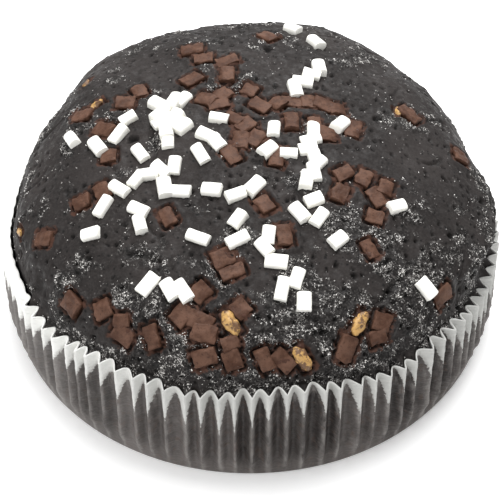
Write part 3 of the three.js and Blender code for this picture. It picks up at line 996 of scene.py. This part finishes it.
def nut_material():
    nodes = Nodes.material("nut")
    place = nodes.place()
    coat = nodes.step(nodes.noise(place, 3, 4.0, 0.75), 0.44, 0.56)
    color = nodes.mix(nodes.noise(place, 1.2, 2.0), *NUT_COLOURS)
    color = nodes.mix(coat * 0.9, color, NUT_COAT)
    return nodes.surface(color, 0.45, nodes.bump(nodes.noise(place, 0.9, 3.0), 0.3), IOR=1.45)


# ---- Paper case ----

def make_paper_case(material):
    """Pleats grown round the case from one strip, open below; add_case_floor closes them with a floor."""
    strip_points, strip_faces = strip_grid(PLEAT_STEPS, WALL_ROWS + COLLAR_ROWS)
    strip_points[:, 1] *= 1 + COLLAR_ROWS / WALL_ROWS
    strip = make_object("strip", strip_points / MM, strip_faces)
    following = {key: np.roll(values, -1) for key, values in PLEAT_TABLE.items()}
    numbers = {**PLEAT_TABLE, "next_lift": following["lift"], **more_of_pleats()}
    piece = make_object("paper_case_skin", np.zeros((PLEATS, 3)), numbers=numbers)
    grow(piece, pleat_tree(strip, material))
    bpy.data.objects.remove(strip)
    smooth(piece)
    return piece


def more_of_pleats():
    """Each pleat's skew, how far below the rim the fat has soaked its fold, and its tone."""
    draws = seeded_draws(STAIN_SEED)
    rows = [[next(draws) for _ in range(3)] for _ in range(PLEATS)]
    skew, soak, tone = np.array(rows).T
    return {"skew": np.exp(0.5 * (skew - 0.5)), "soak": 3.4 * soak ** 1.5, "tone": tone}


def strip_grid(columns, rows):
    """A flat grid one unit wide and high, with its faces towards the viewer."""
    across, up = np.meshgrid(np.linspace(0, 1, columns + 1), np.linspace(0, 1, rows + 1))
    points = np.stack([across.ravel(), up.ravel(), np.zeros(across.size)], axis=-1)
    faces = []
    for row in range(rows):
        for column in range(columns):
            a = row * (columns + 1) + column
            faces.append((a, a + 1, a + columns + 2, a + columns + 1))
    return points, faces


def pleat_tree(strip, material):
    """Lays the strip once for each pleat, and bends each copy to its place in the wall."""
    sizes = {"Case radius": CASE_RADIUS, "Case height": CASE_HEIGHT, "Foot height": FOOT_HEIGHT,
             "Base radius": BASE_RADIUS, "Flute height": FLUTE_HEIGHT, "Collar": COLLAR}
    nodes = Nodes.geometry("pleats", **sizes)
    flat = nodes.real(nodes.copies(nodes.out(nodes.inputs), strip))
    across, up, _ = nodes.parts(nodes.place())
    start, width = nodes.attribute("start"), nodes.attribute("width")
    depth, lift, next_lift = nodes.attribute("depth"), nodes.attribute("lift"), nodes.attribute("next_lift")
    angle = start + width * across
    cos, sin = nodes.math("COSINE", angle), nodes.math("SINE", angle)
    sway = nodes.math("COSINE", (angle - RIM_SWAY_AT) * RIM_SWAYS) * RIM_SWAY
    tilt = cos * -RIM_TILT - nodes.math("COSINE", angle * 2) * RIM_DROOP
    rim = nodes.size("Case height") + tilt + sway + lift * (1 - across) + next_lift * across
    beyond = nodes.math("MAXIMUM", (up - 1) * (WALL_ROWS / COLLAR_ROWS), 0.0)
    height = nodes.math("MINIMUM", up, 1.0) * rim
    skewed = across ** nodes.attribute("skew")
    fold = nodes.math("SINE", skewed * math.pi) ** FOLD_POWER
    side = nodes.math("ABSOLUTE", skewed * 2 - 1)
    # At the left the paper is pressed flatter towards the rim, and turned in over the crust's shoulder.
    turned = nodes.step(nodes.math("COSINE", angle - TURNED_AT), *TURNED_WITHIN)
    pressed = turned * nodes.step(rim - height, *PRESSED_WITHIN, PRESSED, 0)
    formed = nodes.step(height, FOOT_HEIGHT * 0.6, nodes.size("Flute height")) * (1 - pressed)
    collar = turned * beyond * nodes.size("Collar")
    marks = {"below_rim": rim - height, "side": side, "height": height, "from_left": cos}
    for key, value in marks.items():
        flat = nodes.store(flat, key, value)
    # The wall curves in under the foot to meet the flat base.
    under = nodes.math("MAXIMUM", 1 - height / nodes.size("Foot height"), 0.0)
    curl = (nodes.size("Case radius") - nodes.size("Base radius")) * under ** FOOT_CURL
    spot = nodes.vector(cos * BASE_RADIUS * MM, sin * BASE_RADIUS * MM, height * MM)
    crumple = nodes.noise(spot, 7, 3.0, 0.6) - 0.5
    crease = nodes.noise(nodes.vector_math("MULTIPLY", spot, (1, 1, 3.2)), 9, 2.0) - 0.5
    belly = nodes.step(height, FOOT_HEIGHT, FLUTE_HEIGHT, -FOOT_INSET, BELLY_RADIUS - CASE_RADIUS)
    above = nodes.math("MAXIMUM", (height - FLUTE_HEIGHT) / (rim - FLUTE_HEIGHT), 0.0)
    radius = (nodes.size("Case radius") + belly * (1 - above)
              - depth * fold * formed - curl + (crumple * 0.5 + crease * 0.9) * formed - collar)
    wall = nodes.vector(radius * cos * MM, radius * sin * MM, (height + collar * COLLAR_RISE) * MM)
    outside = nodes.out(nodes.add("GeometryNodeSetPosition", {"Geometry": flat, "Position": wall}))
    merged = nodes.out(nodes.add("GeometryNodeMergeByDistance", {"Geometry": outside, "Distance": WELD * MM}))
    return nodes.finish(merged, material)


def add_case_floor(piece):
    """Closes the wall below with a flat floor, and gives the paper its thickness."""
    mesh = bmesh.new()
    mesh.from_mesh(piece.data)
    lowest = [e for e in mesh.edges if e.is_boundary and all(v.co.z < 1e-5 for v in e.verts)]
    bmesh.ops.edgeloop_fill(mesh, edges=lowest)
    bmesh.ops.recalc_face_normals(mesh, faces=mesh.faces)
    mesh.to_mesh(piece.data)
    mesh.free()
    solid = piece.modifiers.new("paper", "SOLIDIFY")
    solid.thickness = PAPER * MM
    solid.offset = -1
    keep_result(piece, solid)
    smooth(piece)


def paper_material():
    nodes = Nodes.material("baking paper")
    place = nodes.place()
    below, side, height = (nodes.attribute(key) for key in ("below_rim", "side", "height"))
    left = nodes.step(nodes.attribute("from_left"), -0.85, -0.1, 1, 0)
    upright = nodes.vector_math("MULTIPLY", place, (1, 1, 0.3))
    ragged = nodes.noise(place, 1.8, 4.0, 0.7) - 0.5
    # Fat has soaked each fold up to the rim, in a tongue with a pointed top, and
    # the clean paper reaches down between the tongues as a wedge. At the left
    # the fat stops lower down, at a more even line.
    crinkled = nodes.math("MAXIMUM", side + (nodes.noise(place, 1.1, 3.0, 0.6) - 0.5) * 0.5, 0.0)
    wedge = crinkled ** 1.6 * (12 - left * 8) * (nodes.attribute("tone") * 0.6 + 0.7)
    reach = below - (nodes.attribute("soak") + left * 5 + wedge + ragged * (3.4 + left * 2) + 0.2)
    stained = nodes.step(reach, -0.3, 0.5)
    tone = nodes.attribute("tone") * 0.5 + nodes.noise(upright, 3, 3.0, 0.65) * 0.9
    dark = nodes.mix(nodes.step(tone, 0.35, 1.05), *SOAKED_PAPER)
    brownish = nodes.step(nodes.noise(place, 2.6, 3.0), 0.55, 0.68)
    dark = nodes.mix(brownish * 0.5, dark, (0.085, 0.058, 0.046))
    # The soaked paper is paler towards the bottom.
    paler_low = nodes.step(height + nodes.noise(upright, 5, 3.0, 0.6) * 22, 8, 28, 1, 0)
    dark = nodes.mix(paler_low * 0.55, dark, (0.112, 0.099, 0.092))
    worn = nodes.step(nodes.noise(upright, 4, 4.0, 0.7), 0.36, 0.66)
    line = nodes.step(side + ragged * 0.5, 0.5, 1.0) * worn
    dark = nodes.mix(line * 0.6, dark, (0.25, 0.235, 0.222))
    # Painted light: the soaked paper is lighter at the left, the side the light comes from.
    dark = nodes.mix(left * 0.35, dark, (0.25, 0.235, 0.225))
    # Some folds are paler just under the clean paper.
    pale = nodes.step(nodes.noise(upright, 3.4, 4.0, 0.7), 0.5, 0.64) * nodes.step(reach, 0, 11, 0.75, 0)
    dark = nodes.mix(pale, dark, (0.20, 0.188, 0.178))
    clean = nodes.mix(nodes.noise(place, 8), *CLEAN_PAPER)
    # Painted light: the clean paper is whiter at the left, the side the light comes from.
    clean = nodes.mix(left * 0.9, clean, (0.78, 0.78, 0.755))
    clean = nodes.mix(nodes.step(reach, -3.0, 0.2, 0, 0.5), clean, (0.30, 0.29, 0.275))
    color = nodes.mix(stained, clean, dark)
    crinkle = nodes.bump(nodes.noise(place, 1.6, 3.0, 0.6), 0.24)
    level = nodes.vector_math("MULTIPLY", place, (1, 1, 3))
    creased = nodes.bump(nodes.noise(level, 6, 3.0, 0.6), 0.9, crinkle)
    return nodes.surface(color, 0.55, creased, Specular_IOR_Level=0.2)


# ---- The model ----

def dress(piece, node):
    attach(piece, "root")
    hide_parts(node)


make_camera()
make_studio()
toppings = lay_toppings()
crumb = make_crumb(toppings, crumb_material())
dress(crumb, "cake")
dress(make_grains(crumb, grain_material()), "cake")
white = make_toppings("white_bars", toppings["white"], bar_mesh("bar"), white_material(), WHITE_WOBBLE)
dress(white, "cake")
brown = make_toppings("brown_bars", toppings["brown"], bar_mesh("bar"), brown_material(), BROWN_WOBBLE)
dress(brown, "cake")
nuts = make_toppings("nut_bits", toppings["nuts"], nut_mesh("nut"), nut_material(), NUT_WOBBLE)
dress(nuts, "cake")
case = make_paper_case(paper_material())
add_case_floor(case)
dress(case, "paper_case")
